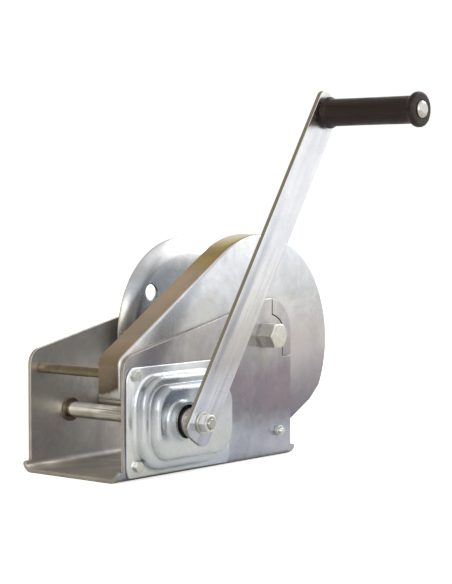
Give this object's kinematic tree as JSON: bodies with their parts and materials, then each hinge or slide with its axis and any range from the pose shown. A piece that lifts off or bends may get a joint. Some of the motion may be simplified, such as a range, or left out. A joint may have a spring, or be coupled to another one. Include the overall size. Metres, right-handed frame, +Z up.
{
  "type": "boat trailer winch",
  "caption": "Hand-cranked zinc-plated trailer winch with a folded side-plate frame, guarded gears, an automatic brake under a pressed cover, and a flat crank arm with a turning grip.",
  "frame": {"origin": "centre of the frame's base, on its underside, midway between the side plates", "axes": "+Z up from the mounting face, +X towards the crank side along every shaft, +Y towards the drum end"},
  "size_m": [0.3163, 0.3337, 0.3806],
  "materials": {
    "zinc_frame": "satin",
    "zinc_bright": "satin",
    "zinc_fasteners": "satin",
    "gear_steel": "satin",
    "shaft_steel": "polished",
    "bronze": "satin",
    "spring_steel": "satin",
    "friction": "matte",
    "grip_plastic": "satin"
  },
  "bodies": {
    "base": {"frame": "zinc_frame", "corner_plate": "zinc_frame", "gear_guard": "zinc_bright", "tie_rod": "zinc_fasteners", "tie_rod_bolt": "zinc_fasteners", "drum_axle": "zinc_fasteners", "axle_nut": "zinc_fasteners", "axle_lock_nut": "zinc_fasteners", "axle_spacers": "shaft_steel", "idler_axle": "zinc_fasteners", "idler_nut": "zinc_fasteners", "idler_spacer": "shaft_steel", "far_bush": "bronze", "near_bush": "bronze", "pawl_pin": "shaft_steel", "pawl_spring": "spring_steel", "pawl_circlip": "spring_steel", "brake_cover": "zinc_bright", "cover_screws": "zinc_fasteners", "rear_bolt": "zinc_fasteners", "rear_nut": "zinc_fasteners"},
    "drum": {"drum_core": "zinc_bright", "far_flange": "zinc_bright", "near_flange": "zinc_bright", "drum_gear": "gear_steel", "drum_bushes": "bronze"},
    "idler": {"idler_pinion": "gear_steel", "idler_gear": "gear_steel", "idler_bush": "bronze"},
    "crank": {"crank_shaft": "shaft_steel", "crank_pinion": "gear_steel", "shaft_circlip": "spring_steel", "pressure_hub": "shaft_steel", "crank_arm": "zinc_bright", "arm_washer": "zinc_fasteners", "arm_nut": "zinc_fasteners", "grip_bolt": "zinc_fasteners", "grip_washer": "zinc_fasteners", "grip_nut": "zinc_fasteners"},
    "ratchet": {"ratchet_wheel": "gear_steel", "friction_discs": "friction"},
    "pawl_arm": {"pawl": "gear_steel"},
    "grip": {"grip_sleeve": "grip_plastic"}
  },
  "joints": [
    {"name": "drum_spin", "type": "hinge", "parent": "base", "child": "drum", "pos_m": [0, 0.085, 0.129], "axis": [1, 0, 0], "continuous": true},
    {"name": "idler_spin", "type": "hinge", "parent": "base", "child": "idler", "pos_m": [0, -0.02369, 0.06526], "axis": [1, 0, 0], "continuous": true},
    {"name": "crank_spin", "type": "hinge", "parent": "base", "child": "crank", "pos_m": [0, -0.073, 0.057], "axis": [1, 0, 0], "continuous": true},
    {"name": "ratchet_spin", "type": "hinge", "parent": "base", "child": "ratchet", "pos_m": [0.07, -0.073, 0.057], "axis": [1, 0, 0], "continuous": true},
    {"name": "pawl_lift", "type": "hinge", "parent": "base", "child": "pawl_arm", "pos_m": [0.072, -0.04, 0.0905], "axis": [1, 0, 0], "range_deg": [0, 14], "stiffness_Nm_per_rad": 0.05, "springref_deg": -17.19},
    {"name": "grip_spin", "type": "hinge", "parent": "crank", "child": "grip", "pos_m": [0.17, 0.12199, 0.35783], "axis": [1, 0, 0], "continuous": true}
  ],
  "couplings": [
    {"joint": "idler_spin", "follows": "drum_spin", "ratio": -3.4211},
    {"joint": "crank_spin", "follows": "drum_spin", "ratio": 7.9825}
  ]
}
